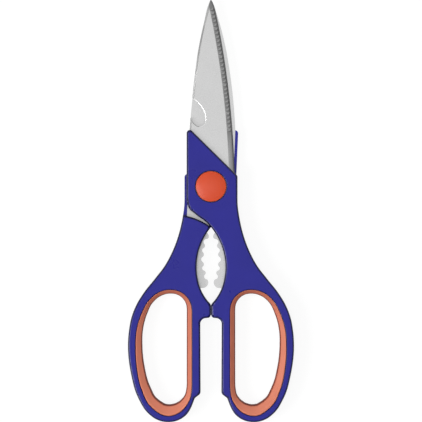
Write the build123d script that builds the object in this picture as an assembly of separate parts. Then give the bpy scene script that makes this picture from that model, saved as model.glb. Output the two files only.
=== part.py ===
from build123d import *

import math
import os

# Kitchen shears: two steel blades, two moulded handles, soft finger grips and a capped pivot.
#
# The shears lie flat and closed. X runs across them, Y from the handles to the tips, and Z is up.
# The origin is on the pivot axis, on the plane that the shears lie on. Lengths are in millimetres.
# Each half is drawn in a frame of its own, with z zero on the plane between the two blades, its own
# blade above that plane, its cutting edge towards +X and its finger loop at +X.

# Overall sizes
blade_reach = 95.0  # pivot to tip
handle_reach = 119.9  # pivot to the far end of the finger loops
handle_half_span = 42.25  # centre line to the widest point of a finger loop
body_thickness = 12.0  # moulded handles, face to face

# Blades
blade_thickness = 2.5
blade_gap = 0.1  # between the two inner faces
blade_half_width = 12.0  # centre line to the cutting edge side, at the heel
edge_foot_height = 8.0  # where the ground edge ends, above the pivot
tip_width = 0.6
bevel_width = 2.9
bevel_thickness = 1.0  # steel left at the outer side of the main bevel
honed_width = 0.6
honed_thickness = 0.15
spine_chamfer_width = 0.9
spine_chamfer_depth = 0.5

# Serrations, ground into the front blade's main bevel with a narrow wheel
groove_radius = 2.0
groove_reach = 2.6  # from the edge to where a groove runs out on the bevel
groove_tilt = 5.6  # degrees steeper than the bevel
groove_pitch = 2.08
groove_start = 5.0  # along the edge, from the tip
groove_count = 31

# Pivot
barrel_radius = 3.0
running_clearance = 0.05
fixed_clearance = 0.03
screw_radius = 2.0
head_radius = 5.5
screw_head_height = 1.4
barrel_head_height = 1.6
drive_radius = 1.7
drive_depth = 1.0
washer_inner_radius = 3.3
washer_outer_radius = 5.2
washer_thickness = 0.35
washer_clearance = 0.05
thread_end_gap = 0.5  # below the screw, inside the barrel

# Pivot caps
cap_radius = 7.75
cap_clearance = 0.15
cap_wall = 1.3
cap_plate = 0.7
cap_edge = 0.3
cap_sink = 0.35  # the domed cap's rim, below the face of the handle
dome_rise = 0.95
crown_shares = [(0.72, 0.6), (0.32, 1.0)]  # of the cap's radius across and of its rise up

# Handles
cover_wall = 1.5  # beside the steel
cover_top_height = 28.7
cover_top_width = 2.28  # along the front cover's top, before its edge slants down
cover_slope_angle = 44.6
neck_half_width = 12.4  # spine side, below the pivot
neck_height = 6.5  # below the pivot
rear_cover_flare = 1.5  # how much further the rear half's spine side stands out at the top
corner_radius = 1.6
rim_width = 1.2  # of the slope round the faces of handles and grips, less than the corners' radius
foot_corner_radius = 2.2
arch_radius = 3.0
stop_gap = 0.3  # between the two handles' stops
lock_hole_radius = 2.0

# Grips
grip_wall = 5.7  # at its thickest, towards the palm
grip_bow = 0.35  # how far the straight side of the grip swells into the finger hole
grip_recess = 0.35  # below the face of the handle
grip_clearance = 0.03
lug_width = 4.0  # of the lugs that hold the grip in the handle
lug_height = 3.0
lug_depth = 1.2

overrun = 5.0  # how far a cut runs past what it cuts

# Outlines of one half. A pair is a share of blade_half_width across and a share of blade_reach up.
edge_middle_share = (0.746, 0.518)
edge_bend_share = (0.206, 0.936)
front_spine_shares = [(0.308, 0.8716), (0.525, 0.743), (0.671, 0.6137)]
rear_spine_shares = [(0.375, 0.8716), (0.625, 0.743), (0.8, 0.6137)]
notch_shares = [
    (-0.79, 0.474),
    (-0.43, 0.434),
    (-0.235, 0.377),
    (-0.3, 0.332),
    (-0.525, 0.322),
    (-0.735, 0.3385),
    (-0.835, 0.368),
]

# In these a pair is a share of handle_half_span across and a share of handle_reach down.
outer_shares = [
    (0.349, 0.145),
    (0.46, 0.272),
    (0.556, 0.336),
    (0.677, 0.392),
    (0.808, 0.45),
    (0.901, 0.504),
    (0.9585, 0.5565),
    (0.988, 0.612),
    (1.0, 0.676),
    (0.965, 0.791),
    (0.883, 0.892),
    (0.754, 0.963),
    (0.657, 0.988),
    (0.51, 1.0),
    (0.3195, 0.976),
    (0.2225, 0.924),
]
foot_hollow_share = (0.194, 0.8974)
foot_share = (0.1255, 0.879)
arch_share = (0.1295, 0.5605)
stop_foot_share = 0.5565
stop_top_share = 0.5004
lens_shares = [(0.1075, 0.449), (0.1675, 0.374), (0.155, 0.2847), (0.068, 0.2074)]
crook_shares = [(-0.039, 0.1572), (-0.1804, 0.119), (-0.27, 0.0895)]
shoulder_shares = [(0.4, 0.1201), (0.132, 0.1444), (-0.02, 0.178)]
seat_shares = [
    (0.2296, 0.535),
    (0.268, 0.48),
    (0.372, 0.447),
    (0.5065, 0.4385),
    (0.6386, 0.4518),
    (0.7463, 0.4837),
    (0.832, 0.5377),
    (0.8907, 0.6024),
    (0.9075, 0.685),
    (0.894, 0.7656),
    (0.84, 0.8558),
    (0.7288, 0.9313),
    (0.5065, 0.973),
    (0.375, 0.9575),
    (0.277, 0.919),
    (0.2296, 0.835),
]
# One share for each point of the seat: of the grip's wall there, and of a lug's depth
grip_wall_shares = [
    *(0.46, 0.39, 0.35, 0.355, 0.37, 0.39, 0.455, 0.54),
    *(0.6, 0.68, 0.775, 0.87, 1.0, 0.89, 0.65, 0.45),
]
lug_shares = [0, 0, 0, 1, 0, 0, 0, 1, 0, 0, 1, 0, 0, 0, 1, 0]
heel_shares = [(-0.194, 0.1), (-0.04, 0.135), (0.05, 0.196)]
jaw_shares = [
    (0.026, 0.2118),
    (0.0885, 0.2356),
    (0.0722, 0.2519),
    (0.1065, 0.2719),
    (0.0852, 0.2886),
    (0.1183, 0.3103),
    (0.0852, 0.3311),
    (0.1065, 0.3486),
    (0.0639, 0.3653),
    (0.083, 0.3845),
    (0.0343, 0.4028),
    (0.1124, 0.4312),
]
tang_shares = [(0.26, 0.45), (0.345, 0.42), (0.385, 0.345), (0.335, 0.215), (0.29, 0.135)]
lock_hole_share = (0.265, 0.29)
heading_up = Vector(0, 1, 0)
heading_down = Vector(0, -1, 0)

# Sizes that follow from the ones above
half_thickness = body_thickness / 2
blade_bottom = blade_gap / 2
blade_top = blade_bottom + blade_thickness
heel_half_width = neck_half_width - cover_wall
cover_edge_half_width = blade_half_width + cover_wall
stop_x = stop_gap / 2
grip_face = half_thickness - grip_recess
screw_seat = blade_top + washer_thickness + 2 * washer_clearance


def blade_place(share):
    """A point of a blade's outline, from its shares."""
    return (share[0] * blade_half_width, share[1] * blade_reach)


def handle_place(share):
    """A point of a handle's outline, from its shares."""
    return (share[0] * handle_half_span, -share[1] * handle_reach)


def headings_through(points, first=None, last=None):
    """The direction at each point of a smooth line. A free end follows the arc beside it."""
    headings = []
    for before, point, after in zip(points, points[1:], points[2:]):
        arriving = point - before
        leaving = after - point
        along = arriving * (1 / arriving.length**2) + leaving * (1 / leaving.length**2)
        headings.append(along.normalized())
    first_chord = (points[1] - points[0]).normalized()
    last_chord = (points[-1] - points[-2]).normalized()
    first = first or first_chord * (2 * first_chord.dot(headings[0])) - headings[0]
    last = last or last_chord * (2 * last_chord.dot(headings[-1])) - headings[-1]
    return [first, *headings, last]


def two_arcs(start, heading, end, end_heading):
    """Two arcs that meet smoothly, from one point to the next in the directions given."""
    chord = end - start
    square = chord.dot(chord)
    along = chord.dot(heading + end_heading)
    turn = 2 * (1 - heading.dot(end_heading))
    reach = square / (along + math.sqrt(along**2 + turn * square))
    meeting = (start + end + (heading - end_heading) * reach) * 0.5
    arc = TangentArc(start, meeting, tangent=heading)
    return [arc, TangentArc(meeting, end, tangent=arc % 1)]


def smooth_line(places, first=None, last=None):
    """A smooth line of arcs through places, with the headings of its ends if they are given."""
    points = [Vector(*place) for place in places]
    headings = headings_through(points, first, last)
    arcs = []
    for number, point in enumerate(points[1:]):
        arcs += two_arcs(points[number], headings[number], point, headings[number + 1])
    return arcs


def slab(outline, low, high):
    """A flat outline made solid from one height to another."""
    return extrude(Pos(0, 0, low) * outline, high - low)


def turned(section):
    """A turned piece, from half its section drawn as radius and height."""
    return revolve(Plane.XZ * make_face(section), Axis.Z)


def upright_edges(solid, places):
    """The upright edges of a solid that stand nearest to given places of its plan."""
    uprights = solid.edges().filter_by(Axis.Z)
    return [uprights.sort_by_distance((x, y, 0))[0] for x, y in places]


def softened(solid, hole=False):
    """A solid with a slope round the outside of its top and bottom faces, or round their hole."""
    for height_side in (-1, 0):
        face = solid.faces().filter_by(Axis.Z).sort_by(Axis.Z)[height_side]
        wire = face.inner_wires()[0] if hole else face.outer_wire()
        solid = chamfer(wire.edges(), rim_width)
    return solid


# The blades

def cutting_edge():
    """The ground edge, from heel to tip: one long arc, then the belly that closes on the point."""
    foot = (blade_half_width, edge_foot_height)
    bend = blade_place(edge_bend_share)
    tip = (tip_width / 2, blade_reach)
    long_arc = ThreePointArc(foot, blade_place(edge_middle_share), bend)
    return long_arc, TangentArc(bend, tip, tangent=long_arc % 1)


def spine_line(spine_shares, cover_flare):
    """The spine, from the tip to where the cover begins."""
    tip = (-tip_width / 2, blade_reach)
    root = (-heel_half_width - cover_flare, cover_top_height)
    return Wire(smooth_line([tip, *[blade_place((-across, up)) for across, up in spine_shares], root]))


def blade_outline(spine):
    """The steel blank of one half: blade, heel, toothed jaw and tang."""
    long_arc, belly = cutting_edge()
    heel = (-heel_half_width, -neck_height)
    heel_curve = [handle_place(share) for share in heel_shares]
    jaw = [handle_place(share) for share in jaw_shares]
    tang = [handle_place(share) for share in tang_shares]
    return make_face([
        long_arc,
        belly,
        Line(belly @ 1, spine @ 0),
        *spine.edges(),
        Line(spine @ 1, heel),
        *smooth_line([heel, *heel_curve]),
        *smooth_line([heel_curve[-1], *jaw]),
        Polyline(jaw[-1], *tang, (blade_half_width, -neck_height), long_arc @ 0),
    ])


def ground_waste(path, section):
    """What is ground off the outer face along a path, with the steel on the path's left.

    The section is drawn as distance in from the path and height above the outer face.
    """
    run = path % 0
    across = Plane(origin=path @ 0, x_dir=(-run.Y, run.X, 0), z_dir=run)
    return Pos(0, 0, blade_top) * sweep(across * make_face(section), path=path)


def bevel_waste():
    """The ground edge: the wide main bevel, then the steep honed one."""
    long_arc, belly = cutting_edge()
    start = long_arc @ 0 - (long_arc % 0) * overrun
    finish = belly @ 1 + (belly % 1) * overrun
    path = Wire([Line(start, long_arc @ 0), long_arc, belly, Line(belly @ 1, finish)])
    slope = (blade_thickness - bevel_thickness) / (bevel_width - honed_width)
    honed_slope = (bevel_thickness - honed_thickness) / honed_width
    low = -blade_thickness + honed_thickness - honed_slope * honed_width
    section = Polyline(
        (bevel_width + overrun / slope, overrun),
        (honed_width, bevel_thickness - blade_thickness),
        (-honed_width, low),
        (-overrun, low),
        (-overrun, overrun),
        close=True,
    )
    return ground_waste(path, section)


def spine_waste(spine):
    """The chamfer along the spine's outer edge."""
    start = spine @ 0 - (spine % 0) * overrun
    path = Wire([Line(start, spine @ 0), *spine.edges()])
    reach = spine_chamfer_width * overrun / spine_chamfer_depth
    section = Polyline(
        (spine_chamfer_width + reach, overrun),
        (-reach, -spine_chamfer_depth - overrun),
        (-reach, overrun),
        close=True,
    )
    return ground_waste(path, section)


def serrations():
    """Round grooves at an even pitch, each a little steeper than the bevel, so it runs out on it."""
    long_arc, belly = cutting_edge()
    edge_line = Wire([long_arc, belly])
    slope = math.atan2(blade_thickness - bevel_thickness, bevel_width - honed_width)
    fall = slope + math.radians(groove_tilt)
    end_height = blade_top - (bevel_width - groove_reach) * math.tan(slope)
    grooves = []
    for number in range(groove_count):
        from_heel = edge_line.length - groove_start - number * groove_pitch
        place = edge_line.position_at(from_heel, position_mode=PositionMode.LENGTH)
        run = edge_line.tangent_at(from_heel, position_mode=PositionMode.LENGTH)
        inward = Vector(-run.Y, run.X, 0)
        downhill = Vector(0, 0, -math.sin(fall)) - inward * math.cos(fall)
        upright = Vector(0, 0, math.cos(fall)) - inward * math.sin(fall)
        end = place + inward * groove_reach + Vector(0, 0, end_height)
        start = end + upright * groove_radius - downhill * overrun
        grooves.append(Plane(origin=start, z_dir=downhill) * extrude(Circle(groove_radius), 2 * overrun))
    return grooves


def notch_waste():
    """The bottle opener's hooked notch, open at the spine."""
    notch = [blade_place(share) for share in notch_shares]
    outside = -blade_half_width - overrun
    mouth = Polyline(notch[-1], (outside, notch[-1][1]), (outside, notch[0][1]), notch[0])
    return slab(make_face([*smooth_line(notch), mouth]), 0, blade_top + overrun)


def insert(spine):
    """The steel of one half before its bore: the blank with ground edges and a lock hole in the tang."""
    body = slab(blade_outline(spine), blade_bottom, blade_top) - bevel_waste() - spine_waste(spine)
    lock_hole = Pos(*handle_place(lock_hole_share)) * Circle(lock_hole_radius)
    return body - slab(lock_hole, 0, blade_top + overrun)


# The handles

def handle_outline(cover_flare):
    """The whole moulding in plan with sharp corners, and the corners that are rounded later."""
    slope = math.tan(math.radians(cover_slope_angle))
    point = (-neck_half_width - cover_flare, cover_top_height)
    slope_top = (-neck_half_width + cover_top_width, cover_top_height)
    slope_foot = (cover_edge_half_width, cover_top_height - slope * (cover_edge_half_width - slope_top[0]))
    spine_neck = (-neck_half_width, -neck_height)
    edge_neck = (cover_edge_half_width, -neck_height)
    outer = [handle_place(share) for share in outer_shares]
    hollow = handle_place(foot_hollow_share)
    foot = handle_place(foot_share)
    arch = handle_place(arch_share)
    stop_foot = (stop_x, -stop_foot_share * handle_reach)
    stop_top = (stop_x, -stop_top_share * handle_reach)
    inner = [handle_place(share) for share in lens_shares + crook_shares]
    hollow_heading = (Vector(*hollow) - Vector(*outer[-1])).normalized()
    outline = make_face([
        Polyline(spine_neck, point, slope_top, slope_foot, edge_neck),
        *smooth_line([edge_neck, *outer], heading_down, hollow_heading),
        Polyline(outer[-1], hollow, foot, arch, stop_foot, stop_top),
        *smooth_line([stop_top, *inner, spine_neck], None, heading_up),
    ])
    small_corners = [point, slope_top, slope_foot, hollow, stop_foot, stop_top]
    return outline, small_corners, foot, arch


def shoulder_waste():
    """The room below the cover that the other half's blade and cover need."""
    shoulder = [handle_place(share) for share in shoulder_shares]
    far = handle_half_span + overrun
    top = cover_top_height + overrun
    left = [(-far, shoulder[-1][1]), (-far, top)]
    right = [(far, top), (far, shoulder[0][1])]
    side = Polyline(shoulder[-1], *left, *right, shoulder[0])
    return slab(make_face([ThreePointArc(*shoulder), side]), -half_thickness - overrun, blade_bottom)


def seat_frame():
    """The points of the seat, and the direction of its outline at each."""
    seat = [Vector(*handle_place(share)) for share in seat_shares]
    return seat, headings_through(seat, heading_up, heading_up)


def seat_outline(shifts, bow=0):
    """The ring through the seat's points, each moved inwards by its own distance.

    The side next to the other handle is straight, or swells into the ring by a bow.
    """
    moved = []
    for point, heading, shift in zip(*seat_frame(), shifts):
        moved.append(point + Vector(heading.Y, -heading.X, 0) * shift)
    side = Line(moved[-1], moved[0])
    if bow:
        side = ThreePointArc(moved[-1], side @ 0.5 + Vector(bow, 0), moved[0])
    return make_face([*smooth_line(moved, heading_up, heading_up), side])


def seat_slab(inward, half_height):
    """The seat made solid, evenly smaller than its outline."""
    return slab(seat_outline([inward] * len(seat_shares)), -half_height, half_height)


def lugs(clearance):
    """The lugs that stand out from the seat, or with a clearance the pockets that they need."""
    block = Rectangle(lug_width + 2 * clearance, lug_height + 2 * clearance)
    blocks = []
    for point, heading, share in zip(*seat_frame(), lug_shares):
        if share:
            depth = share * lug_depth
            outward = Vector(-heading.Y, heading.X, 0)
            root = Plane(origin=point - outward * depth, x_dir=heading, z_dir=outward)
            blocks.append(root * extrude(block, 2 * depth + clearance))
    return blocks


def moulding(cover_flare):
    """The outer form of one handle: rounded corners, the step at the shoulder and softened rims."""
    plan, small_corners, foot, arch = handle_outline(cover_flare)
    body = slab(plan, -half_thickness, half_thickness)
    body = fillet(upright_edges(body, small_corners), corner_radius)
    body = fillet(upright_edges(body, [foot]), foot_corner_radius)
    body = fillet(upright_edges(body, [arch]), arch_radius)
    return softened(body - shoulder_waste())


def handle(steel, cover_flare):
    """One handle in its half's frame, moulded round the steel of its blade."""
    far = half_thickness + overrun
    body = moulding(cover_flare) - seat_slab(0, far)
    body -= lugs(grip_clearance)
    body -= slab(Circle(cap_radius + cap_clearance), blade_bottom, far)
    return body - steel


# The grips

def grip():
    """One soft grip with the lugs that hold it in the handle, thickest towards the palm."""
    finger_hole = seat_outline([grip_wall * share for share in grip_wall_shares], grip_bow)
    ring = seat_slab(grip_clearance, grip_face) - slab(finger_hole, -grip_face, grip_face)
    return softened(ring, hole=True) + lugs(0)


# The pivot

def pivot_barrel():
    """The sleeve nut: its head bears on the rear blade and its barrel carries both blades."""
    head_top = -blade_top
    head_bottom = head_top - barrel_head_height
    floor = head_top
    bore = screw_radius + fixed_clearance
    return turned(Polyline(
        (0, head_bottom),
        (head_radius, head_bottom),
        (head_radius, head_top),
        (barrel_radius, head_top),
        (barrel_radius, screw_seat),
        (bore, screw_seat),
        (bore, floor),
        (0, floor),
        close=True,
    ))


def pivot_screw():
    """The screw from the front: its head bears on the end of the barrel, over the washer."""
    top = screw_seat + screw_head_height
    screw = turned(Polyline(
        (0, thread_end_gap - blade_top),
        (screw_radius, thread_end_gap - blade_top),
        (screw_radius, screw_seat),
        (head_radius, screw_seat),
        (head_radius, top),
        (0, top),
        close=True,
    ))
    return screw - slab(RegularPolygon(drive_radius, side_count=6), top - drive_depth, top + overrun)


def spring_washer():
    """The sprung washer round the barrel, pressed flat, that holds the blades together."""
    ring = Circle(washer_outer_radius) - Circle(washer_inner_radius)
    low = blade_top + washer_clearance
    return slab(ring, low, low + washer_thickness)


def cap(rim_height, rise):
    """A press-in cap with its skirt on the blade. It is flat, or domed if it has a rise."""
    skirt = cap_radius - cap_wall
    shoulder = cap_radius - cap_edge
    under = rim_height - cap_plate
    top = rim_height + rise
    wall = Polyline(
        (0, top),
        (0, under),
        (skirt, under),
        (skirt, blade_top),
        (cap_radius, blade_top),
        (cap_radius, rim_height - cap_edge),
        (shoulder, rim_height),
    )
    crown = [(shoulder * across, rim_height + rise * up) for across, up in crown_shares if rise]
    return turned([wall, Polyline((shoulder, rim_height), *crown, (0, top))])


def half_parts(name, spine_shares, cover_flare, bore_clearance, cap_height, rise):
    """The four pieces of one half, by name, in its own frame."""
    steel = insert(spine_line(spine_shares, cover_flare))
    bore = slab(Circle(barrel_radius + bore_clearance), 0, blade_top + overrun)
    return {
        name + "_blade": steel - bore,
        name + "_handle": handle(steel, cover_flare),
        name + "_grip": grip(),
        name + "_cap": cap(cap_height, rise),
    }


front = half_parts("front", front_spine_shares, 0, running_clearance, half_thickness - cap_sink, dome_rise)
front["front_blade"] = front["front_blade"] - serrations() - notch_waste()
rear = half_parts("rear", rear_spine_shares, rear_cover_flare, fixed_clearance, half_thickness, 0)
pivot = {"pivot_barrel": pivot_barrel(), "pivot_screw": pivot_screw(), "spring_washer": spring_washer()}

lift = Pos(0, 0, half_thickness)
turn_over = Rot(0, 180, 0)
parts = {name: lift * piece for name, piece in (front | pivot).items()}
parts |= {name: lift * turn_over * piece for name, piece in rear.items()}

os.makedirs("parts", exist_ok=True)
for name, piece in parts.items():
    export_step(piece, f"parts/{name}.step")
    print(name, round(piece.volume), "mm3")
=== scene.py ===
# %% [markdown]
# # Kitchen shears
#
# A pair of kitchen shears lies flat and closed: two steel blades on one pivot, two moulded handles, a
# soft grip in each finger loop and an orange cap over the pivot. The engineering model gives every
# piece its size and place. This lesson gives the pieces their finish, and remakes the moulded ones
# with the soft edges that moulding leaves.

# %% Load the frame
import math

import bmesh
import bpy
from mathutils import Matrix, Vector
from mathutils.bvhtree import BVHTree
from mathutils.kdtree import KDTree


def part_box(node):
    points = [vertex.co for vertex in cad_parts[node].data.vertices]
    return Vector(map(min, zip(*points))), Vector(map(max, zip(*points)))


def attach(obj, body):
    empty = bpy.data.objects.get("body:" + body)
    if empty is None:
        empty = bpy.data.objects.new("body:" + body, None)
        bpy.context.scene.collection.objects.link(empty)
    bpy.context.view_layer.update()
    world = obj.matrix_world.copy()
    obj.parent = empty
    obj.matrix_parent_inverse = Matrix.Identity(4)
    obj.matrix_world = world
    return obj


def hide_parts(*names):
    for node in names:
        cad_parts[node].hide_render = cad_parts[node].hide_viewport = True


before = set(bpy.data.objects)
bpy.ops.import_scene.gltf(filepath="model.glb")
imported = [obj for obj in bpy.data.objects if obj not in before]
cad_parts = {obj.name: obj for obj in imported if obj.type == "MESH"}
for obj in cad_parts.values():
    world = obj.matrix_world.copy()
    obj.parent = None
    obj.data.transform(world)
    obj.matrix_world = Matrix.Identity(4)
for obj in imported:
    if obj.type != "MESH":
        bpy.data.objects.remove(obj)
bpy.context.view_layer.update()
MM = 0.001
print("frame nodes:", sorted(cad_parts))

# %% [markdown]
# ## Helpers for pieces
#
# A node of the frame is a heap of loose triangles. A copy of it is merged first, so that its faces
# share their corners. Flat neighbours are then joined into one face each, because a cut or a bevel runs
# cleanly only where no stray diagonals cross its path.

# %% Merged copies
MERGE_DISTANCE = 0.001 * MM
FLAT_ANGLE = math.radians(0.7)


def merged_copy(node):
    """A node's mesh with its triangles joined at their corners."""
    bm = bmesh.new()
    bm.from_mesh(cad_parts[node].data)
    bmesh.ops.remove_doubles(bm, verts=bm.verts, dist=MERGE_DISTANCE)
    return bm


def join_flat_faces(bm):
    """Joins neighbouring triangles that lie in one plane."""
    bmesh.ops.dissolve_limit(
        bm, angle_limit=FLAT_ANGLE, use_dissolve_boundaries=False,
        verts=bm.verts, edges=bm.edges, delimit=set(),
    )


# %% [markdown]
# The shears lie flat, so most questions about a piece are about height and lean: how far a face leans
# from level, and whether two corners are equally high. Two small tools go with them, a level cut through
# a piece and a narrow round along chosen edges.

# %% Measure, cut and round
LEVEL_GAP = 0.01 * MM
ROUND_SEGMENTS = 2


def lean_of(face):
    """How far a face leans from level, in degrees."""
    return math.degrees(math.acos(min(1, abs(face.normal.z))))


def share_of(value, start, end):
    """How far a value has come from a start to an end, kept between 0 and 1."""
    return min(1, max(0, (value - start) / (end - start)))


def same_height(first, second):
    """Whether two heights are the same but for rounding."""
    return abs(first - second) < LEVEL_GAP


def cut_level(bm, height, outline_only=False):
    """Cuts a mesh at a height, and keeps all of it or only the outlines of the cut."""
    bmesh.ops.bisect_plane(
        bm, geom=bm.verts[:] + bm.edges[:] + bm.faces[:], plane_co=(0, 0, height), plane_no=(0, 0, 1),
        clear_inner=outline_only, clear_outer=outline_only,
    )


def round_edges(bm, edges, width):
    """Bevels edges round, and gives back the new faces."""
    made = bmesh.ops.bevel(
        bm, geom=edges, offset=width, offset_type="OFFSET", segments=ROUND_SEGMENTS, profile=0.5,
        affect="EDGES", clamp_overlap=True, material=-1,
    )
    return made["faces"]


# %% [markdown]
# A finished piece rides on its body, gets its material and stands for its node. The Weighted
# Normal modifier lets the large flat faces decide the shading, so that they stay flat and all the
# turning happens on the narrow rounds beside them.

# %% Finished pieces
SHARP_ANGLE = 35


def new_object(bm, name, material):
    """Makes an object of a bmesh and puts it in the scene."""
    mesh = bpy.data.meshes.new(name)
    bm.to_mesh(mesh)
    bm.free()
    mesh.materials.append(material)
    made = bpy.data.objects.new(name, mesh)
    bpy.context.scene.collection.objects.link(made)
    return made


def finish_piece(bm, name, body, nodes, material, sharp_angle=SHARP_ANGLE):
    """Makes a piece that stands for some nodes, smooth except at its sharp edges."""
    piece = new_object(bm, name, material)
    piece.data.shade_smooth()
    piece.data.set_sharp_from_angle(angle=math.radians(sharp_angle))
    weighted = piece.modifiers.new("weighted normals", "WEIGHTED_NORMAL")
    weighted.mode = "FACE_AREA"
    weighted.keep_sharp = True
    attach(piece, body)
    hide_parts(*nodes)
    print(name, "faces:", len(piece.data.polygons))


# %% [markdown]
# ## Materials
#
# Each finish is built from nodes, so it has no picture to lose. Texture Coordinate's Object output
# gives places in metres on the resting shears, so every pattern has a real size.

# %% Start a material and give it patterns
NOISE_MIDDLE = (0.3, 0.7)


def start_material(name):
    """A new material, its node tree, its main shader and its place on the object."""
    material = bpy.data.materials.new(name)
    material.use_nodes = True
    tree = material.node_tree
    shader = tree.nodes["Principled BSDF"]
    place = tree.nodes.new("ShaderNodeTexCoord").outputs["Object"]
    print("material:", name)
    return material, tree, shader, place


def noise(tree, place, grain, stretch=(1, 1, 1), detail=3.0):
    """Noise whose grain is about a given size in metres, drawn out along an axis by its stretch."""
    mapping = tree.nodes.new("ShaderNodeMapping")
    mapping.inputs["Scale"].default_value = [1 / (grain * times) for times in stretch]
    tree.links.new(place, mapping.inputs["Vector"])
    texture = tree.nodes.new("ShaderNodeTexNoise")
    texture.inputs["Scale"].default_value = 1.0
    texture.inputs["Detail"].default_value = detail
    tree.links.new(mapping.outputs["Vector"], texture.inputs["Vector"])
    return texture.outputs["Fac"]


def between(tree, factor, low, high):
    """A number that runs from low to high as a noise factor runs over its usual middle range."""
    node = tree.nodes.new("ShaderNodeMapRange")
    node.inputs["From Min"].default_value, node.inputs["From Max"].default_value = NOISE_MIDDLE
    node.inputs["To Min"].default_value = low
    node.inputs["To Max"].default_value = high
    tree.links.new(factor, node.inputs["Value"])
    return node.outputs["Result"]


def bumped(tree, shader, height, distance, strength):
    """Puts a height pattern on a shader's normal."""
    bump = tree.nodes.new("ShaderNodeBump")
    bump.inputs["Distance"].default_value = distance
    bump.inputs["Strength"].default_value = strength
    tree.links.new(height, bump.inputs["Height"])
    tree.links.new(bump.outputs["Normal"], shader.inputs["Normal"])


# %% [markdown]
# Two kinds of colour change are needed. One drifts with a noise, and the other follows the shape: the
# mesh carries an attribute with a number at each corner of its faces, and the material reads it. No
# picture has to be wrapped round the piece for that.

# %% Colours that drift and colours that follow the shape
def colour_mix(tree, factor):
    """A node that mixes colour A into colour B by a factor."""
    node = tree.nodes.new("ShaderNodeMix")
    node.data_type = "RGBA"
    tree.links.new(factor, node.inputs["Factor"])
    return node


def mixed_colour(tree, factor, first, second):
    """A colour between two, by a factor."""
    node = colour_mix(tree, factor)
    node.inputs["A"].default_value = (*first, 1)
    node.inputs["B"].default_value = (*second, 1)
    return node.outputs["Result"]


def marked(tree, attribute, plain, colour):
    """Turns a colour into another one where the mesh's attribute says so."""
    mark = tree.nodes.new("ShaderNodeAttribute")
    mark.attribute_name = attribute
    node = colour_mix(tree, mark.outputs["Fac"])
    tree.links.new(plain, node.inputs["A"])
    node.inputs["B"].default_value = (*colour, 1)
    return node.outputs["Result"]


# %% [markdown]
# The blades are stamped from stainless sheet and ground across their width by a belt. The belt leaves
# fine lines across the blade, so the noise is drawn out along X. It varies the gloss and the height
# a little, and the colour hardly at all. The bevel and its serrations get painted shade in their colour,
# standing in for their dark reflections, and the rim of the bottle notch gets a painted highlight. Each of
# the two is kept in an attribute of the mesh, a number at each corner of its faces.

# %% Ground steel
PATCH_SIZE = 9 * MM
PATCH_STRETCH = (1, 1.6, 1)
PATCH_TONE = 0.97
STEEL_SPREAD = (0.04, 0.05)
LINE_DEPTH = 0.002 * MM
# Tones of the painted shade and the painted highlight on the steel.
PAINTED_SHADE_TONE = 0.14
PAINTED_HIGHLIGHT_TONE = 0.85


def ground_steel(name, tone, roughness, line_width, line_stretch):
    material, tree, shader, place = start_material(name)
    lines = noise(tree, place, line_width, (line_stretch, 1, 1), detail=2.0)
    patches = noise(tree, place, PATCH_SIZE, PATCH_STRETCH)
    shade = mixed_colour(tree, between(tree, patches, 0, 1), [tone * PATCH_TONE] * 3, [tone] * 3)
    # Painted shade on the slopes, then a painted highlight on the notch's rim.
    shade = marked(tree, "painted_shade", shade, [PAINTED_SHADE_TONE] * 3)
    shade = marked(tree, "painted_highlight", shade, [PAINTED_HIGHLIGHT_TONE] * 3)
    tree.links.new(shade, shader.inputs["Base Color"])
    below, above = STEEL_SPREAD
    tree.links.new(between(tree, lines, roughness - below, roughness + above), shader.inputs["Roughness"])
    shader.inputs["Metallic"].default_value = 1.0
    bumped(tree, shader, lines, distance=LINE_DEPTH, strength=0.35)
    return material


blade_steel = ground_steel(
    "blade_steel", tone=0.6, roughness=0.3, line_width=0.12 * MM, line_stretch=14.0
)
pivot_steel = ground_steel(
    "pivot_steel", tone=0.55, roughness=0.36, line_width=0.08 * MM, line_stretch=4.0
)

# %% [markdown]
# The handles are one smooth, satin plastic moulding each. Such a surface is never quite even: the mould
# leaves a very fine grain, and handling polishes it in patches, so roughness drifts slowly over it. Along
# the rims and on the walls painted shade darkens the colour, which draws the dark line round each form.
# An attribute of the mesh marks it. The caps are moulded in orange, and get no painted shade at the rim.

# %% Satin handle plastic
PLASTIC_DRIFT = 12 * MM
PLASTIC_GRAIN = 0.25 * MM
PLASTIC_GRAIN_DEPTH = 0.006 * MM
PLASTIC_SPREAD = (0.03, 0.04)


def drifting_colour(tree, shader, drift, light, dark, edge=None):
    """Lets a moulding's colour drift from dark to light, with a painted shade colour where the mesh is
    marked.
    """
    colour = mixed_colour(tree, between(tree, drift, 0, 1), dark, light)
    # Where the mesh is marked, the colour turns to the painted shade.
    if edge:
        colour = marked(tree, "edge", colour, edge)
    tree.links.new(colour, shader.inputs["Base Color"])


def satin_plastic(name, light, dark, roughness, shine, edge=None):
    material, tree, shader, place = start_material(name)
    drift = noise(tree, place, PLASTIC_DRIFT)
    grain = noise(tree, place, PLASTIC_GRAIN, detail=4.0)
    drifting_colour(tree, shader, drift, light, dark, edge)
    below, above = PLASTIC_SPREAD
    tree.links.new(between(tree, drift, roughness - below, roughness + above), shader.inputs["Roughness"])
    shader.inputs["Specular IOR Level"].default_value = shine
    bumped(tree, shader, grain, distance=PLASTIC_GRAIN_DEPTH, strength=0.25)
    return material


# The edge colour is the painted shade of the rims and walls.
handle_plastic = satin_plastic(
    "handle_plastic", light=(0.008, 0.007, 0.246), dark=(0.006, 0.005, 0.23),
    roughness=0.3, shine=0.36, edge=(0.0, 0.0, 0.05),
)
cap_plastic = satin_plastic(
    "cap_plastic", light=(0.68, 0.056, 0.001), dark=(0.65, 0.05, 0.001), roughness=0.38, shine=0.55
)

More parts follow.
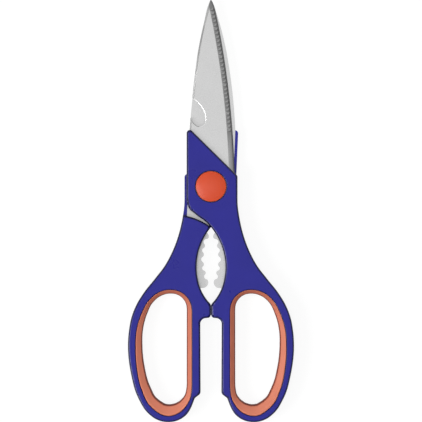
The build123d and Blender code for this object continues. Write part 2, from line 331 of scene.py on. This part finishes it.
# %% [markdown]
# The grips are a soft rubbery plastic, moulded into the handles in a second shot. It is matt, with a fine
# grain that scatters light, and its colour is milkier than the cap's. A deep red painted shade darkens it
# where the grip turns down into the finger hole and hardly any light comes back.

# %% Soft grip rubber
RUBBER_DRIFT = 10 * MM
RUBBER_GRAIN = 0.18 * MM
RUBBER_GRAIN_DEPTH = 0.015 * MM
RUBBER_ROUGHNESS = (0.56, 0.68)


def soft_rubber(name, light, dark, edge):
    material, tree, shader, place = start_material(name)
    drift = noise(tree, place, RUBBER_DRIFT)
    grain = noise(tree, place, RUBBER_GRAIN, detail=4.0)
    drifting_colour(tree, shader, drift, light, dark, edge)
    tree.links.new(between(tree, grain, *RUBBER_ROUGHNESS), shader.inputs["Roughness"])
    shader.inputs["Specular IOR Level"].default_value = 0.35
    bumped(tree, shader, grain, distance=RUBBER_GRAIN_DEPTH, strength=0.35)
    return material


# The edge colour is the painted shade on the finger hole's wall.
grip_rubber = soft_rubber(
    "grip_rubber", light=(0.76, 0.24, 0.148), dark=(0.72, 0.225, 0.135), edge=(0.22, 0.03, 0.01)
)

# %% [markdown]
# ## Blades
#
# The steel keeps the shape of the frame, but for a small bevel at the bottle notch. Only a merged copy
# can be shaded smoothly over the ground arcs and scallops while the edges stay crisp, so each blade is
# shown by such a copy.
#
# On the front blade the steel's colour carries painted shade, which stands in for the dark reflections of
# its slopes. It is darkest on the honed line along the cutting edge, and each groove of the serration is
# painted darker on its lower side. The bevel between the grooves is painted darker from the blade's flat
# downwards.
# That edge is on the right, so slopes that face left, such as the ground spine, all get one plain painted
# shade. The rear blade's slopes lie underneath, where few look, and go by the same rule.

# %% Painted shade on the ground slopes
SLOPE_START = 24
GROOVE_START = 37
WALL_START = 70
LEVEL_NORMAL = 0.999
HONED_DEPTH = 1.42 * MM
GROOVE_TURN = 22
PLAIN_SHADE = 0.5
GROOVE_SHADES = (0.2, 0.8)
BEVEL_SHADE = 0.6


def mark_painted_steel_shade(bm, outer, side):
    """Keeps how much painted shade the steel gets at each corner of its faces. Leans and turns are in
    degrees.
    """
    honed_height = outer - side * HONED_DEPTH
    cut_level(bm, honed_height)
    painted_shade = bm.loops.layers.float.new("painted_shade")
    light, dark = GROOVE_SHADES
    for face in bm.faces:
        lean = lean_of(face)
        turn = math.degrees(math.atan2(face.normal.y, face.normal.x))
        past_honed_line = (face.calc_center_median().z - honed_height) * side < 0
        for loop in face.loops:
            on_flat = any(abs(other.normal.z) > LEVEL_NORMAL for other in loop.vert.link_faces)
            if lean < SLOPE_START or lean > WALL_START:
                loop[painted_shade] = 0
            elif face.normal.x <= 0:
                loop[painted_shade] = PLAIN_SHADE
            elif past_honed_line:
                loop[painted_shade] = 1
            elif lean > GROOVE_START:
                loop[painted_shade] = light + (dark - light) * share_of(turn, 0, GROOVE_TURN)
            else:
                loop[painted_shade] = 0 if on_flat else BEVEL_SHADE
    print("honed line at", round(honed_height / MM, 2), "mm")


# %% [markdown]
# Where the bottle notch breaks the front blade's outer face, its edge is dressed with a stone. A small
# bevel does the same here. Its faces that look left get a painted highlight, and the others painted
# shade. The edges are picked by where they are and by how sharply their faces turn.

# %% Dress the edge of the bottle notch
NOTCH_RIGHT = -2 * MM
NOTCH_SPAN = (29.5 * MM, 46 * MM)
NOTCH_TURN = 60
NOTCH_BEVEL = 0.22 * MM


def dress_notch(bm, left, height, painted_shade, painted_highlight):
    """Bevels the notch's edge at a height, and marks the new faces for painted highlight and painted shade.
    """
    bottom, top = NOTCH_SPAN
    rim = []
    for edge in bm.edges:
        middle = (edge.verts[0].co + edge.verts[1].co) / 2
        in_notch = left < middle.x < NOTCH_RIGHT and bottom < middle.y < top
        on_face = all(same_height(corner.co.z, height) for corner in edge.verts)
        if in_notch and on_face and edge.calc_face_angle(0) > math.radians(NOTCH_TURN):
            rim.append(edge)
    # The new faces that look left get the painted highlight, the others painted shade.
    for face in round_edges(bm, rim, NOTCH_BEVEL):
        for loop in face.loops:
            loop[painted_highlight] = 1 if face.normal.x < 0 else 0
            loop[painted_shade] = 0 if face.normal.x < 0 else 1
    print("notch edges dressed:", len(rim))


# %% [markdown]
# Both blades are made the same way. The front one shows its outer face upwards, the rear one downwards.
# The grooves meet at shallow angles, so an edge counts as sharp from a smaller angle than elsewhere.

# %% Front and rear blade
GROUND_SHARP_ANGLE = 20


def make_blade(node, body, side, has_notch):
    low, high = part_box(node)
    outer = high.z if side > 0 else low.z
    bm = merged_copy(node)
    join_flat_faces(bm)
    mark_painted_steel_shade(bm, outer, side)
    # The layers of painted shade and painted highlight.
    painted_shade = bm.loops.layers.float["painted_shade"]
    painted_highlight = bm.loops.layers.float.new("painted_highlight")
    if has_notch:
        dress_notch(bm, low.x, outer, painted_shade, painted_highlight)
    finish_piece(bm, node + "_ground", body, [node], blade_steel, GROUND_SHARP_ANGLE)


make_blade("front_blade", "front_half", side=1, has_notch=True)
make_blade("rear_blade", "rear_half", side=-1, has_notch=False)

# %% [markdown]
# ## Handles
#
# A moulding has no sharp rims, and the frame's handles have a plain 45 degree slope round their faces.
# Each handle here is a merged copy whose slope is bent out to a quarter round. The usual bevel doesn't
# work on these rims, because the short edges beside the stops hold it back to nothing.
#
# The slope is known by its lean, as nothing else on a handle leans by about 45 degrees. The edges across
# it run from one of the handle's two faces to an upright wall. Each is cut into short pieces, and a search
# tree finds the new corners again, so that each one can be moved from the straight slope onto the circle.

# %% Bend the slopes out to rounds
SLOPE_LEANS = (40, 50)
ROUND_CUTS = 6


def is_level(edge):
    return same_height(edge.verts[0].co.z, edge.verts[1].co.z)


def is_slope(face):
    least, most = SLOPE_LEANS
    return least < lean_of(face) < most


def at_face(corner, face_heights):
    return any(same_height(corner.co.z, height) for height in face_heights)


def round_slopes(bm, face_heights):
    """Cuts the slopes lengthwise and bends them out to quarter rounds."""
    crossing = [e for e in bm.edges if not is_level(e) and any(is_slope(f) for f in e.link_faces)]
    ends = []
    for edge in crossing:
        first, last = edge.verts
        if not at_face(first, face_heights):
            first, last = last, first
        ends.append((first.co.copy(), last.co.copy()))
    cut = bmesh.ops.subdivide_edges(bm, edges=crossing, cuts=ROUND_CUTS, use_grid_fill=True)
    corners = [item for item in cut["geom_inner"] if isinstance(item, bmesh.types.BMVert)]
    places = KDTree(len(corners))
    for number, corner in enumerate(corners):
        places.insert(corner.co, number)
    places.balance()
    moved = 0
    for first, last in ends:
        for step in range(1, ROUND_CUTS + 1):
            share = step / (ROUND_CUTS + 1)
            turn = math.radians(90) * share
            _, number, distance = places.find(first.lerp(last, share))
            across = first.lerp(last, math.sin(turn))
            down = first.z + (last.z - first.z) * (1 - math.cos(turn))
            if distance < MERGE_DISTANCE:
                corners[number].co = (across.x, across.y, down)
                moved += 1
    print("edges across the slopes:", len(crossing), "corners moved onto the rounds:", moved)


# %% [markdown]
# When the shears close, a stop on each handle meets the other one, a little below the jaws. The frame
# leaves a gap there so that the solids never press on each other, but the photograph shows them touching.
# Each stop face is brought up to the middle line, all but a hair's breadth.

# %% Close the stops
STOP_REACH = 0.7 * MM
STOP_SPAN = (-67 * MM, -59 * MM)
STOP_TOUCH = 0.02 * MM


def close_stop(bm, side):
    """Moves the corners of a stop's face next to the middle line."""
    bottom, top = STOP_SPAN
    near = [v for v in bm.verts if 0 < v.co.x * side < STOP_REACH and bottom < v.co.y < top]
    gap = min(corner.co.x * side for corner in near)
    for corner in near:
        if corner.co.x * side - gap < MERGE_DISTANCE:
            corner.co.x = side * STOP_TOUCH
    print("stop face moved in from", round(gap / MM, 2), "mm")


# %% [markdown]
# The seats of the grip and of the cap have no slope at their edge, so these edges get a small bevel. They
# are the only ones at a handle's faces where two surfaces meet at about a right angle.

# %% Round the edges of the seats
SEAT_TURNS = (80, 100)
SEAT_ROUND = 0.45 * MM


def round_seats(bm, face_heights):
    """Rounds the edges at which a seat's wall meets one of the handle's faces."""
    least, most = SEAT_TURNS
    seats = []
    for edge in bm.edges:
        turn = math.degrees(edge.calc_face_angle(0))
        if least < turn < most and is_level(edge) and at_face(edge.verts[0], face_heights):
            seats.append(edge)
    round_edges(bm, seats, SEAT_ROUND)
    print("seat edges rounded:", len(seats))


# %% [markdown]
# The painted dark line along a rim starts where the surface begins to lean. A face's lean gives its share
# of painted shade: none on the level faces, more down the round, and all of it from a certain lean on, also
# on the upright walls.

# %% Front and rear handle
RIM_SHADE_LEANS = (14, 26)


def mark_painted_shade_by_lean(bm, leans):
    """Keeps each face's share of the painted shade, from the lean where it starts to where it is full."""
    start, full = leans
    # This layer holds the painted shade.
    edge = bm.loops.layers.float.new("edge")
    for face in bm.faces:
        share = share_of(lean_of(face), start, full)
        for loop in face.loops:
            loop[edge] = share


def make_handle(node, body, side):
    low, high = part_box(node)
    face_heights = (low.z, high.z)
    bm = merged_copy(node)
    close_stop(bm, side)
    join_flat_faces(bm)
    round_slopes(bm, face_heights)
    round_seats(bm, face_heights)
    mark_painted_shade_by_lean(bm, RIM_SHADE_LEANS)
    finish_piece(bm, node + "_moulding", body, [node], handle_plastic)


make_handle("front_handle", "front_half", side=1)
make_handle("rear_handle", "rear_half", side=-1)

# %% [markdown]
# ## Grips
#
# Each grip is a soft ring that fills the seat in the handle and slopes down towards the finger hole. It is
# thin at the top of the loop and thick towards the palm, so its slope is narrow in some places and wide
# in others. It is made by sending the seat's outline inwards: a ray from every point of the outline finds
# the wall of the finger hole, and the outline is then extruded over the stations of one section, from the
# front face round the hole to the back.
#
# The outline comes from a level cut above the lugs that hold the grip. The cut gives two outlines, and the
# outer one is the seat's, so the walk along it starts at the corner that is furthest up the shears.

# %% Outline of the seat
CUT_SHARE = 0.5
CORNER_SPACING = 0.4 * MM


def seat_outline(bm, height):
    """Cuts a grip down to its outer outline at a height, and gives that outline's corners in order."""
    cut_level(bm, height, outline_only=True)
    bmesh.ops.remove_doubles(bm, verts=bm.verts, dist=CORNER_SPACING)
    start = max(bm.verts, key=lambda corner: corner.co.y)
    outline = [start]
    edge = start.link_edges[0]
    corner = edge.other_vert(start)
    while corner != start:
        outline.append(corner)
        edge = [other for other in corner.link_edges if other != edge][0]
        corner = edge.other_vert(corner)
    bmesh.ops.delete(bm, geom=[other for other in bm.verts if other not in outline], context="VERTS")
    return outline


# %% [markdown]
# The reach of every corner is measured by ray, then evened out along the outline, because the frame's
# wall is made of short flats and the grip should be smooth. Each corner carries its seat and its own
# reach inwards in two layers of the mesh, which every extrusion copies.

# %% Reach towards the finger hole
RAY_START = 0.1 * MM
SMOOTHING_PASSES = 12


def evened(lengths):
    """Lengths round a closed outline, each drawn halfway towards the mean of its neighbours."""
    following = lengths[1:] + lengths[:1]
    return [(lengths[n - 1] + 2 * length + following[n]) / 4 for n, length in enumerate(lengths)]


def measure_reach(outline, tree, seat, reach):
    """Stores each corner's place in the seat and its way to the finger hole, square to the outline."""
    centre = sum((corner.co for corner in outline), Vector()) / len(outline)
    ways, lengths = [], []
    for number, corner in enumerate(outline):
        along = outline[(number + 1) % len(outline)].co - outline[number - 1].co
        way = Vector((-along.y, along.x, 0)).normalized()
        if way.dot(centre - corner.co) < 0:
            way.negate()
        wall = tree.ray_cast(corner.co + way * RAY_START, way)[0]
        ways.append(way)
        lengths.append((wall - corner.co).length)
    for _ in range(SMOOTHING_PASSES):
        lengths = evened(lengths)
    for corner, way, length in zip(outline, ways, lengths):
        corner[seat] = corner.co
        corner[reach] = way * length
    print("wall from", round(min(lengths) / MM, 2), "to", round(max(lengths) / MM, 2), "mm")


# %% [markdown]
# Each station of the section is a share of the reach inwards and a share of half the height upwards. The
# section rises a little beside the handle, slopes down and rounds into the hole's wall. Its mirror image
# makes the back, and bridging the last outline to the first closes the ring inside the seat. The painted
# shade starts at a steeper lean than on the handles, so the slope stays light and only the hole's wall is
# painted dark.

# %% Front and rear grip
SECTION = [(0, 0.95), (0.03, 0.985), (0.08, 1), (0.14, 0.99), (0.2, 0.965)]
SECTION += [(0.8, 0.74), (0.87, 0.68), (0.93, 0.57), (0.975, 0.42), (1, 0.2)]
STATIONS = SECTION + [(inward, -up) for inward, up in reversed(SECTION)]
HOLE_SHADE_LEANS = (36, 62)


def make_grip(node, body):
    low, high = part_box(node)
    middle = (low.z + high.z) / 2
    half = (high.z - low.z) / 2
    bm = merged_copy(node)
    seat = bm.verts.layers.float_vector.new("seat")
    reach = bm.verts.layers.float_vector.new("reach")
    tree = BVHTree.FromBMesh(bm)
    outline = seat_outline(bm, middle + CUT_SHARE * (high.z - middle))
    measure_reach(outline, tree, seat, reach)

    def place(corners, station):
        inward, up = station
        for corner in corners:
            corner.co = corner[seat] + corner[reach] * inward
            corner.co.z = middle + half * up

    place(outline, STATIONS[0])
    first_edges = bm.edges[:]
    edges = first_edges
    for station in STATIONS[1:]:
        new = bmesh.ops.extrude_edge_only(bm, edges=edges)["geom"]
        corners = {item for item in new if isinstance(item, bmesh.types.BMVert)}
        place(corners, station)
        edges = [e for e in new if isinstance(e, bmesh.types.BMEdge) and set(e.verts) <= corners]
    bmesh.ops.bridge_loops(bm, edges=first_edges + edges)
    bmesh.ops.recalc_face_normals(bm, faces=bm.faces)
    mark_painted_shade_by_lean(bm, HOLE_SHADE_LEANS)
    finish_piece(bm, node + "_soft", body, [node], grip_rubber)


make_grip("front_grip", "front_half")
make_grip("rear_grip", "rear_half")

# %% [markdown]
# ## Caps
#
# The caps are turned shapes, so half a section is spun round the pivot. The front cap is a shallow dome
# with a small radius at its rim, and the rear one is the same disc left flat, because the shears lie on it.

# %% Section of a cap
RIM_ROUND = 0.35 * MM
RIM_STEPS = 5
DOME_STEPS = 12


def cap_section(radius, rim_height, rise):
    """Half a section of a cap's outside, from its skirt to its middle, as radius and height."""
    points = [(radius, 0)]
    for step in range(RIM_STEPS + 1):
        turn = math.radians(90) * step / RIM_STEPS
        across = radius - RIM_ROUND * (1 - math.cos(turn))
        up = rim_height - RIM_ROUND * (1 - math.sin(turn))
        points.append((across, up))
    crown = radius - RIM_ROUND
    for step in range(1, DOME_STEPS + 1):
        share = 1 - step / DOME_STEPS
        points.append((crown * share, rim_height + rise * (1 - share**2)))
    return points


# %% [markdown]
# The section's corners are joined into a line and spun once round, with the last step merged into the
# first. Nothing shows of a cap's underside, so the open rim is simply filled with one face.

# %% Front and rear cap
SPIN_STEPS = 96
DOME_RISE = 0.95 * MM


def make_cap(node, body, outward, rise):
    low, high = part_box(node)
    radius = (high.x - low.x) / 2
    inner = low.z if outward > 0 else high.z
    rim_height = high.z - low.z - rise
    bm = bmesh.new()
    section = cap_section(radius, rim_height, rise)
    corners = [bm.verts.new((across, 0, inner + outward * up)) for across, up in section]
    edges = [bm.edges.new(pair) for pair in zip(corners, corners[1:])]
    bmesh.ops.spin(
        bm, geom=corners + edges, cent=(0, 0, 0), axis=(0, 0, 1), angle=math.radians(360),
        steps=SPIN_STEPS, use_merge=True, use_duplicate=False,
    )
    bmesh.ops.remove_doubles(bm, verts=bm.verts, dist=MERGE_DISTANCE)
    open_rim = [edge for edge in bm.edges if edge.is_boundary]
    bmesh.ops.holes_fill(bm, edges=open_rim, sides=0)
    bmesh.ops.recalc_face_normals(bm, faces=bm.faces)
    finish_piece(bm, node + "_turned", body, [node], cap_plastic)


make_cap("front_cap", "front_half", outward=1, rise=DOME_RISE)
make_cap("rear_cap", "rear_half", outward=-1, rise=0)

# %% [markdown]
# ## Pivot
#
# The barrel, the screw and its washer hide under the caps. They keep the frame's shapes and get the turned
# steel finish.

# %% Pivot steel
for node in ("pivot_barrel", "pivot_screw", "spring_washer"):
    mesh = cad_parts[node].data
    mesh.materials.clear()
    mesh.materials.append(pivot_steel)
    print(node, "faces:", len(mesh.polygons))

# %% [markdown]
# ## Floor, light and camera
#
# The photograph is a catalogue picture: the shears lie on white, seen from straight above, with soft light
# from the left. The floor and the world both have to look white without lighting the shears, and Light
# Path makes that possible: it tells which rays come from the camera or from a reflection, so these can be
# given another strength than the rays that carry light to the object.

# %% White for the camera and in reflections
def strength_by_ray(tree, kinds, seen, unseen):
    """A strength for rays of the named kinds, and another one for all other rays."""
    rays = tree.nodes.new("ShaderNodeLightPath")
    found = rays.outputs[kinds[0]]
    for kind in kinds[1:]:
        either = tree.nodes.new("ShaderNodeMath")
        either.operation = "MAXIMUM"
        tree.links.new(found, either.inputs[0])
        tree.links.new(rays.outputs[kind], either.inputs[1])
        found = either.outputs["Value"]
    strength = tree.nodes.new("ShaderNodeMapRange")
    strength.inputs["To Min"].default_value = unseen
    strength.inputs["To Max"].default_value = seen
    tree.links.new(found, strength.inputs["Value"])
    return strength.outputs["Result"]


def stage_material(name, tone):
    """A material without shine, with a white glow whose strength is still to be set."""
    material, tree, shader, _ = start_material(name)
    shader.inputs["Base Color"].default_value = (tone, tone, tone, 1)
    shader.inputs["Specular IOR Level"].default_value = 0.0
    shader.inputs["Emission Color"].default_value = (1, 1, 1, 1)
    return material, tree, shader


# %% [markdown]
# The floor is a plain sheet just under the shears. Its own colour is dark, and what makes it white is the
# glow. The light of the lamps only adds a little to that, and where the shears take it away a faint
# shadow is left.

# %% Floor
FLOOR_REACH = 1.5
FLOOR_DROP = 0.05 * MM
FLOOR_TONE = 0.14
FLOOR_ROUGHNESS = 0.9
FLOOR_GLOW = 0.9

floor_material, tree, shader = stage_material("floor_white", FLOOR_TONE)
shader.inputs["Roughness"].default_value = FLOOR_ROUGHNESS
glow = strength_by_ray(tree, ("Is Camera Ray", "Is Glossy Ray"), seen=FLOOR_GLOW, unseen=0.0)
tree.links.new(glow, shader.inputs["Emission Strength"])
bm = bmesh.new()
bmesh.ops.create_grid(bm, x_segments=1, y_segments=1, size=FLOOR_REACH)
bmesh.ops.translate(bm, verts=bm.verts, vec=(0, 0, -FLOOR_DROP))
floor = new_object(bm, "floor", floor_material)
print("floor:", 2 * FLOOR_REACH, "m wide")

# %% [markdown]
# The world is white where it is seen and faint as a light, so that the lamps alone give the shears their
# shading.

# %% World
WORLD_LIGHT = 0.12

world = bpy.data.worlds.new("studio")
bpy.context.scene.world = world
world.use_nodes = True
tree = world.node_tree
background = tree.nodes["Background"]
background.inputs["Color"].default_value = (1, 1, 1, 1)
kinds = ("Is Camera Ray", "Is Glossy Ray", "Is Transmission Ray")
strength = strength_by_ray(tree, kinds, seen=1.0, unseen=WORLD_LIGHT)
tree.links.new(strength, background.inputs["Strength"])
print("world light:", WORLD_LIGHT)

# %% [markdown]
# Square area lamps give soft light. The key lamp stands on the left, as in the photograph, and a larger
# one hangs over the shears and fills their shadows. That one is in the camera's way, and its reflection
# would burn out the flat steel, so the camera and the reflections don't see it. Places and sides are in
# metres, and powers are in watts.

# %% Lamps
def soft_lamp(name, place, side, power):
    """A square lamp that faces the pivot."""
    lamp = bpy.data.lights.new(name, "AREA")
    lamp.shape = "SQUARE"
    lamp.size = side
    lamp.energy = power
    light = bpy.data.objects.new(name, lamp)
    light.location = place
    light.rotation_mode = "QUATERNION"
    light.rotation_quaternion = (-Vector(place)).to_track_quat("-Z", "Y")
    bpy.context.scene.collection.objects.link(light)
    print("lamp:", name, power, "W")
    return light


soft_lamp("key_left", place=(-0.7, -0.25, 0.817), side=0.5, power=7.2)
overhead = soft_lamp("overhead", place=(0, 0, 1.5), side=1.0, power=9.5)
overhead.visible_glossy = False
overhead.visible_camera = False

# %% [markdown]
# Metal shows what stands round it. A low grey screen goes all the way round the table, out of the camera's
# sight and seen by reflections alone, so that whatever leans away from the top turns darker.

# %% Grey screen
SCREEN_RADIUS = 0.55
SCREEN_HEIGHT = 0.35
SCREEN_SIDES = 64
SCREEN_GLOW = 0.6

screen_material, tree, shader = stage_material("screen_grey", tone=0)
shader.inputs["Emission Strength"].default_value = SCREEN_GLOW
bm = bmesh.new()
bmesh.ops.create_cone(
    bm, cap_ends=False, segments=SCREEN_SIDES,
    radius1=SCREEN_RADIUS, radius2=SCREEN_RADIUS, depth=SCREEN_HEIGHT,
)
bmesh.ops.translate(bm, verts=bm.verts, vec=(0, 0, SCREEN_HEIGHT / 2))
screen = new_object(bm, "screen", screen_material)
screen.visible_camera = False
screen.visible_shadow = False
screen.visible_diffuse = False
print("screen:", SCREEN_HEIGHT, "m high,", SCREEN_RADIUS, "m from the pivot")

# %% [markdown]
# The camera looks straight down through a long lens, which leaves hardly any perspective. Its distance is
# worked out from the real width of the picture, so that a pixel of the render covers as many millimetres
# as one of the photograph. That holds at the height of the front blade, and the pivot falls on its pixel.

# %% Camera
PICTURE_SIDE = 422
PICTURE_SCALE = 0.5095 * MM
PIVOT_PIXEL = (211.0, 186.5)
SIGHT_HEIGHT = 7.0 * MM
LENS = 300.0
SENSOR = 36.0
SIGHT_END = 10.0

camera_data = bpy.data.cameras.new("camera")
camera_data.lens = LENS
camera_data.sensor_width = SENSOR
camera_data.clip_end = SIGHT_END
camera = bpy.data.objects.new("camera", camera_data)
width = PICTURE_SIDE * PICTURE_SCALE
middle_x = (PICTURE_SIDE / 2 - PIVOT_PIXEL[0]) * PICTURE_SCALE
middle_y = (PIVOT_PIXEL[1] - PICTURE_SIDE / 2) * PICTURE_SCALE
camera.location = (middle_x, middle_y, SIGHT_HEIGHT + width * LENS / SENSOR)
bpy.context.scene.collection.objects.link(camera)
bpy.context.scene.camera = camera
bpy.context.scene.view_settings.view_transform = "Standard"
print("camera height:", round(camera.location.z, 3), "m")
